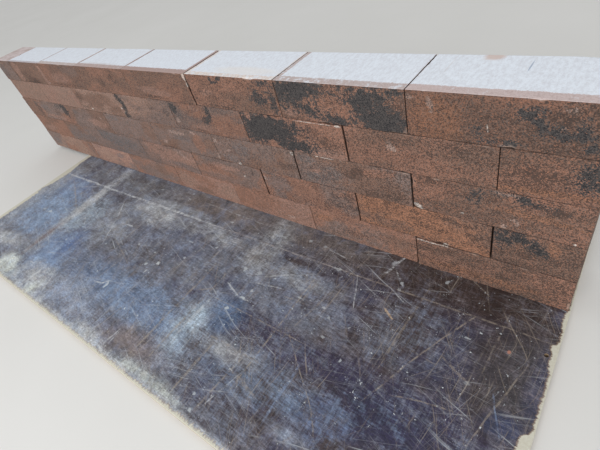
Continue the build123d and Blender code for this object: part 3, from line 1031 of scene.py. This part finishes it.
def film_dust_and_sky_sheen(finish, own, uneven):
    """The film and the dust that lies on it, with a painted bluish reflection of the sky in both. Gives the
    colour, and how much of it is dust.
    """
    def lies_at(zone):
        return mark(finish, own, uneven, zone[:2], zone[2:], ZONE_RAGGED, SOFT_RIM)

    film = finish.blend(finish.ramp(finish.noise(own, 7.0, 4.0, 0.6), 0.38, 0.66), FILM, STAINED_FILM)
    for tone, *zone in FILM_STAINS_AND_SKY_SHEEN:
        film = finish.blend(lies_at(zone), film, tone)

    # the colour and the thickness of the dust, from right to left and then zone by zone; its turn to cooler
    # colours towards the left is a painted reflection of the sky
    from_right = finish.add("TexGradient", "Fac", {"gradient_type": "LINEAR"}, Vector=own)
    far_left = finish.ramp(from_right, 0.0, THICKENS_OVER)
    dust = finish.blend(finish.ramp(far_left, 0.05, 0.3), DUST_AND_SKY_SHEEN["worn"], DUST_AND_SKY_SHEEN["settled"])
    dust = finish.blend(finish.ramp(far_left, 0.6, 0.9), dust, DUST_AND_SKY_SHEEN["cool_dust_and_sky_sheen"])
    thick = finish.ramp(far_left, 0.0, 1.0, *THICKNESS)
    for kind, thickness, *zone in DUST_AND_SKY_SHEEN_ZONES:
        there = lies_at(zone)
        dust = finish.blend(there, dust, DUST_AND_SKY_SHEEN[kind])
        thick = finish.add("Mix", 0, {"data_type": "FLOAT"}, Factor=there, A=thick, B=thickness)
    # a painted bluish reflection of the sky, in patches over the dust
    painted_sky_reflection = finish.ramp(finish.noise(own, 19.0, 6.0, 0.7), 0.46, 0.62, 0.0, 0.3)
    dust = finish.blend(painted_sky_reflection, dust, SKY_REFLECTION_BLUE)
    browned = finish.ramp(finish.noise(own, 32.0, 6.0, 0.75), 0.45, 0.65, 0.0, 0.35)
    dust = finish.blend(browned, dust, BROWN_TINGE)

    # the clots and the smears, which decide where it shows
    clots = finish.times(finish.swing(own, 13.0, 7.0, 0.75), finish.ramp(far_left, 0.0, 1.0, 0.8, 2.6))
    thick = finish.math("ADD", thick, clots)
    for turn, drawn_out, per_metre, strength in SMEARS:
        lay = finish.drawn(own, drawn_out, 1.0, turn, TURNED_ABOUT)
        thick = finish.share(finish.noise(lay, per_metre, 6.0, 0.65), strength, thick)
    lies = finish.math("SUBTRACT", thick, sum(strength for *_, strength in SMEARS) / 2)
    lies = finish.math("MINIMUM", finish.math("MAXIMUM", lies, 0.0), 1.0)
    colour = finish.blend(lies, film, dust)

    grain = finish.noise(finish.drawn(own, 2.5, 1.0), 260.0, 6.0, 0.85)
    colour = finish.toned(colour, finish.ramp(grain, 0.38, 0.62, 0.66, 1.34))
    patchy = finish.ramp(finish.noise(own, 22.0, 7.0, 0.8), 0.38, 0.62, 0.82, 1.22)
    return finish.toned(colour, patchy), lies


print("families of smears", len(SMEARS))

# %% [markdown]
# Boots, knives and dragged blocks have scored the film. The hair-fine scuffs are too many to place, so
# each family of them is one noise, drawn out along its direction until only lines are left. The cuts that
# the eye knows the board by are placed one by one, as long thin marks with a hand's wobble in them.

# %% Cuts and splashes
CHALKY, TAN_CUT, BLUE_CUT = seen(196, 200, 204), seen(158, 147, 134), seen(128, 146, 176)
ROSY_CUT, RAW_CUT = seen(176, 168, 164), seen(196, 172, 144)
SPLASH, SPECK, FLECK = seen(196, 203, 208), seen(200, 204, 208), seen(184, 128, 108)
CUT_RIM, SPLASH_RIM = (0.3, 0.6), (0.45, 0.62)
# How far a hand's wobble throws a cut, in millimetres
WOBBLE = 7.0
# Families of hair-fine scuffs: their turn, length, how many to the metre, how strong and their colour
SCUFFS = [
    (3, 0.40, 330.0, 0.36, seen(162, 160, 160)),
    (92, 0.34, 300.0, 0.4, seen(160, 148, 134)),
    (64, 0.30, 350.0, 0.4, seen(156, 140, 124)),
    (113, 0.36, 300.0, 0.34, seen(164, 168, 176)),
    (36, 0.30, 340.0, 0.4, seen(152, 140, 132)),
    (-25, 0.34, 340.0, 0.3, seen(166, 170, 178)),
    (80, 0.40, 260.0, 0.4, seen(140, 128, 120)),
    (-50, 0.26, 340.0, 0.36, seen(156, 144, 132)),
    (18, 0.30, 300.0, 0.28, seen(170, 176, 184)),
    (103, 0.44, 240.0, 0.36, seen(150, 134, 120)),
    (20, 0.60, 120.0, 0.6, seen(184, 190, 196)),
    (96, 0.60, 110.0, 0.6, seen(168, 158, 146)),
    (-18, 0.50, 130.0, 0.55, seen(188, 192, 196)),
    (58, 0.50, 140.0, 0.5, seen(160, 148, 134)),
]
# Single cuts, colour by colour: both ends, from the right end and from the front edge, the width and
# how strong.
CUTS = {
    TAN_CUT: [
        (600, 613, 20, 614, 5, 0.5), (2360, 600, 2060, 440, 8, 0.5), (2240, 540, 2040, 430, 5, 0.5),
        (1375, 683, 1310, 708, 4, 0.5), (1640, 390, 1420, 310, 5, 0.45), (1028, 340, 965, 375, 5, 0.5),
        (988, 40, 980, 440, 7, 0.5), (1056, 20, 1050, 470, 7, 0.5), (1132, 30, 1140, 230, 4, 0.35),
        (832, 40, 824, 230, 8, 0.5), (676, 165, 672, 600, 5, 0.55), (732, 30, 708, 215, 5, 0.5),
        (700, 172, 610, 152, 10, 0.45), (870, 230, 660, 228, 7, 0.35), (1000, 344, 560, 338, 4, 0.45),
        (548, 724, 634, 350, 4, 0.45), (690, 560, 664, 505, 3, 0.55), (760, 660, 800, 540, 4, 0.35),
        (630, 345, 455, 200, 3, 0.55), (460, 204, 404, 140, 3, 0.45), (196, 612, 244, 520, 4.5, 0.7),
        (240, 530, 300, 400, 4, 0.6), (298, 404, 345, 285, 4, 0.5), (354, 380, 338, 640, 6, 0.45),
        (134, 440, 122, 650, 4, 0.35), (290, 322, 225, 340, 4, 0.5), (228, 340, 170, 350, 4, 0.5),
        (52, 525, 108, 305, 4, 0.45), (230, 470, 150, 430, 6, 0.4), (300, 450, 230, 440, 4, 0.35),
        (730, 448, 640, 452, 3, 0.4), (250, 735, 180, 690, 3, 0.4), (205, 740, 172, 650, 3, 0.4),
        (330, 730, 300, 640, 3, 0.4),
    ],
    ROSY_CUT: [(1240, 612, 560, 613, 6, 0.55)],
    RAW_CUT: [(424, 540, 388, 516, 6, 0.8)],
    BLUE_CUT: [
        (1232, 630, 1226, 745, 6, 0.5), (1330, 262, 1130, 240, 4, 0.55), (312, 640, 324, 480, 9, 0.24),
        (541, 120, 545, 275, 8, 0.55), (396, 125, 402, 255, 12, 0.4), (96, 432, 80, 395, 4, 0.4),
        (82, 400, 58, 345, 3.5, 0.4),
    ],
    CHALKY: [
        (2500, 613, 1840, 612, 11, 0.9), (1860, 612, 1200, 613, 11, 0.9), (2200, 560, 2110, 500, 5, 0.35),
        (1800, 560, 1730, 470, 5, 0.8), (1735, 475, 1650, 340, 5, 0.6), (1920, 412, 1865, 372, 5, 0.7),
        (1642, 462, 1588, 466, 7, 0.8), (1480, 186, 1435, 194, 5, 0.8), (1435, 194, 1405, 220, 5, 0.9),
        (1412, 216, 1408, 188, 4, 0.8), (1330, 706, 1000, 692, 4, 0.4), (950, 412, 865, 380, 5, 0.7),
        (862, 383, 826, 380, 7, 0.8), (962, 190, 957, 345, 11, 0.5), (1290, 40, 1282, 330, 5, 0.3),
        (1180, 30, 1172, 100, 6, 0.5), (1162, 20, 1166, 90, 4, 0.5), (1802, 25, 1798, 138, 11, 0.8),
        (1700, 110, 1650, 20, 7, 0.5), (690, 570, 692, 690, 4, 0.2), (715, 60, 680, 180, 4, 0.45),
        (480, 652, 462, 690, 7, 0.8), (466, 688, 448, 738, 8, 0.9), (446, 672, 410, 630, 7, 0.8),
        (440, 612, 382, 580, 4, 0.6), (545, 600, 504, 500, 4, 0.6), (690, 672, 600, 658, 4, 0.5),
        (850, 478, 735, 540, 7, 0.5), (740, 530, 690, 560, 5, 0.4), (870, 446, 755, 468, 4, 0.55),
    ],
}
# Splashes and chips: the middle, the reach along and across, how ragged, and how strong
SPLASHES = [
    (1288, 362, 12, 9, 2.2, 0.9), (1336, 340, 9, 7, 2.2, 0.8), (1304, 312, 5, 12, 2.2, 0.7),
    (1348, 398, 5, 5, 1.6, 0.8), (1327, 430, 4, 3, 1.4, 0.7), (1148, 655, 14, 8, 2.2, 0.7),
    (1200, 430, 9, 7, 2.4, 0.7), (1112, 520, 8, 9, 2.4, 0.6), (930, 484, 12, 10, 2.6, 0.6),
    (865, 488, 14, 12, 2.8, 0.5), (852, 385, 10, 6, 1.6, 0.8), (875, 330, 9, 7, 2.0, 0.8),
    (840, 418, 6, 8, 2.2, 0.6), (1462, 402, 8, 5, 2.0, 0.7), (1460, 700, 14, 5, 2.2, 0.5),
    (1240, 502, 16, 4, 2.4, 0.5), (1408, 196, 8, 16, 2.4, 0.8), (1470, 735, 6, 8, 2.2, 0.5),
    (2370, 425, 9, 5, 2.0, 0.7), (2290, 636, 14, 7, 2.2, 0.6), (2190, 362, 20, 9, 2.2, 0.7),
    (2255, 360, 16, 6, 2.2, 0.6), (1890, 488, 8, 6, 2.2, 0.6), (1870, 275, 8, 8, 2.2, 0.6),
    (1670, 705, 14, 5, 2.0, 0.6), (1895, 116, 24, 5, 2.2, 0.6), (1630, 340, 10, 4, 2.0, 0.5),
    (300, 692, 7, 9, 2.4, 0.6), (195, 545, 13, 5, 2.4, 0.6), (585, 465, 8, 5, 2.0, 0.6),
    (552, 443, 8, 8, 2.6, 0.5), (535, 380, 9, 4, 2.4, 0.5), (452, 341, 5, 8, 2.0, 0.7),
    (675, 464, 12, 4, 2.4, 0.5), (690, 495, 20, 10, 3.0, 0.4), (625, 612, 22, 7, 2.8, 0.5),
    (780, 684, 8, 8, 2.4, 0.5), (415, 640, 7, 7, 2.4, 0.6), (412, 614, 9, 7, 2.4, 0.4),
    (470, 700, 8, 14, 2.6, 0.5), (715, 680, 8, 8, 2.6, 0.4), (742, 32, 12, 6, 2.4, 0.7),
    (762, 72, 6, 5, 2.4, 0.6), (150, 430, 14, 5, 2.6, 0.3), (900, 665, 30, 6, 2.4, 0.4),
]
# The middle, the reach along and across
ORANGE_FLECK = (95, 550, 4, 5)
# Families of specks: how many cells to the metre, and how much of its cell the largest speck fills
SPECKS = ((30.0, 0.08), (80.0, 0.1), (200.0, 0.24))
print("cuts", sum(map(len, CUTS.values())), "splashes", len(SPLASHES), "families of scuffs", len(SCUFFS))


# %% The scored film
def scuffed(finish, own, colour):
    """Hair-fine scuffs in several directions."""
    bent = finish.shaken(own, 2.5, 0.05)
    for turn, length, per_metre, strength, tone in SCUFFS:
        hair = finish.drawn(bent, length, 1 / per_metre, turn, TURNED_ABOUT)
        line = finish.ramp(finish.noise(hair, 1.0, 3.0, 0.6), 0.6, 0.7)
        patch = finish.ramp(finish.noise(own, 8.0 + turn * 0.02, 3.0, 0.6), 0.38, 0.62)
        colour = finish.blend(finish.times(line, patch, strength), colour, tone)
    return colour


def scored(finish, own, fine, colour):
    """The single cuts, the splashes, the specks and one orange fleck."""
    shaky = finish.shaken(own, 20.0, WOBBLE * MM)
    broken_up = finish.ramp(finish.noise(own, 70.0, 5.0, 0.75), 0.42, 0.58, 0.1, 1.0)
    for tone, cuts in CUTS.items():
        for *ends, width, strength in cuts:
            start, end = ends[:2], ends[2:]
            # the wobble is a noise about a half, so it throws every cut by half its reach
            middle = [(one + other + WOBBLE) / 2 for one, other in zip(start, end)]
            turn = math.atan2(end[1] - start[1], end[0] - start[0])
            reach = (math.dist(start, end) / 2, width / 2)
            there = mark(finish, shaky, fine, middle, reach, 1.3, CUT_RIM, turn)
            colour = finish.blend(finish.times(there, broken_up, strength), colour, tone)
    for *middle, along, across, ragged, strength in SPLASHES:
        there = mark(finish, own, fine, middle, (0.75 * along, 0.75 * across), 2 * ragged, SPLASH_RIM)
        colour = finish.blend(finish.times(there, 0.85 * strength), colour, SPLASH)
    for per_metre, size in SPECKS:
        nearest = finish.grains(own, per_metre, "Distance")
        filled = finish.ramp(finish.noise(own, 12.0), 0.45, 0.75, 0.0, size)
        speck = finish.ramp(finish.math("SUBTRACT", filled, nearest), 0.0, 0.05, 0.0, 0.6)
        colour = finish.blend(speck, colour, SPECK)
    fleck = mark(finish, own, fine, ORANGE_FLECK[:2], ORANGE_FLECK[2:], 0.8)
    return finish.blend(finish.times(fleck, 0.8), colour, FLECK)


longest = max(math.dist(cut[:2], cut[2:4]) for cuts in CUTS.values() for cut in cuts)
print("the longest cut is", round(longest), "mm")

# %% [markdown]
# Along its edges the film has broken away. The fibres of the top ply decide how: across the grain the
# bare wood ends in long teeth, and along the grain in shallow waves. So the distance from each edge is
# shaken by a noise that is drawn out along the fibres, before it is cut off.

# %% Bare wood and plies
# How wide bare wood shows along each edge, and how far its fibres reach into the film, in millimetres
RIMS_OF_WOOD = {"right": (3.5, 13.0), "left": (30.0, 40.0), "front": (7.0, 24.0), "back": (5.0, 16.0)}
# How far the brown wood under the film shows past that
FRINGE = 5.0
# Where an edge is torn wider: the middle and the reach, and how much wider
TORN = [(0, 690, 30, 26, 4.0), (0, 604, 34, 12, 12.0), (0, 570, 34, 30, 7.0), (0, 340, 60, 40, 20.0),
        (2480, 600, 60, 90, 16.0), (2480, 460, 40, 30, -16.0)]
BIRCH, OLD_BIRCH, UNDER_FILM = seen(222, 224, 212), seen(190, 184, 164), seen(148, 122, 98)
DARK_PLY, PALE_PLY, PLY_STAIN = seen(150, 124, 96), seen(186, 164, 134), seen(108, 90, 76)
TWO_PLIES = 2.8 * MM


def bare_wood(finish, own, along, across, uneven, colour):
    """Wood where the film is worn through along the edges, with teeth that follow its fibres."""
    wood = finish.blend(finish.noise(own, 160.0, 4.0, 0.7), BIRCH, OLD_BIRCH)
    torn = 0.0
    for *spot, wider in TORN:
        torn = finish.share(mark(finish, own, uneven, spot[:2], spot[2:], 1.0), wider * MM, torn)
    from_left = finish.math("SUBTRACT", BOARD_LENGTH, along)
    from_back = finish.math("SUBTRACT", BOARD_WIDTH, across)
    across_teeth = finish.swing(finish.drawn(own, 5.0, 1.0), 190.0, 6.0, 0.8)
    along_teeth = finish.swing(finish.drawn(own, 1.0, 5.0), 120.0, 6.0, 0.8)
    for edge, distance, teeth in (("right", along, across_teeth), ("left", from_left, across_teeth),
                                  ("front", across, along_teeth), ("back", from_back, along_teeth)):
        width, fibres = RIMS_OF_WOOD[edge]
        reach = finish.math("SUBTRACT", finish.share(teeth, 2 * fibres * MM, distance), torn)
        fringe = finish.ramp(reach, (width + FRINGE) * MM, (width + 2) * MM, 0.0, 0.55)
        colour = finish.blend(fringe, colour, UNDER_FILM)
        bare = finish.ramp(reach, (width + 2) * MM, (width - 1) * MM, 0.0, 0.9)
        colour = finish.blend(bare, colour, wood)
    return colour


def plied_edge(finish, own, level):
    """The plies that show on the sawn edges, stained here and there."""
    layer = finish.ramp(finish.math("SINE", finish.times(level, math.tau / TWO_PLIES)), -0.2, 0.2)
    stained = finish.ramp(finish.noise(own, 30.0, 4.0, 0.7), 0.45, 0.7, 0.0, 0.7)
    return finish.blend(stained, finish.blend(layer, DARK_PLY, PALE_PLY), PLY_STAIN)


print("bare wood along the edges", RIMS_OF_WOOD)

# %% Dress the board
def board_film():
    """The finish of the whole board: film on its faces, plies at its edges."""
    finish = Finish("worn_board_film")
    where = finish.add("TexCoord", "Object")
    own = finish.placed(where, RIGHT_FRONT, (-1.0, 1.0, 1.0), (0.0, 0.0, BOARD_TURN))
    along, across, level = finish.parts(own)
    uneven = finish.swing(own, 14.0, 6.0, 0.7)
    fine = finish.swing(own, 90.0, 4.0, 0.7)

    film, dust = film_dust_and_sky_sheen(finish, own, uneven)
    film = scored(finish, own, fine, scuffed(finish, own, film))
    film = bare_wood(finish, own, along, across, uneven, film)
    sideways = finish.ramp(finish.math("ABSOLUTE", finish.facing_up()), 0.5, 0.3)
    colour = finish.blend(sideways, film, plied_edge(finish, own, level))

    height = finish.share(fine, 0.5, finish.times(dust, 0.25))
    return finish.finish(colour, finish.ramp(dust, 0.0, 1.0, 0.5, 0.75), 0.35, height, 0.35)


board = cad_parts["board"]
board.data.materials.clear()
board.data.materials.append(board_film())
print("film nodes", len(board.data.materials[0].node_tree.nodes))
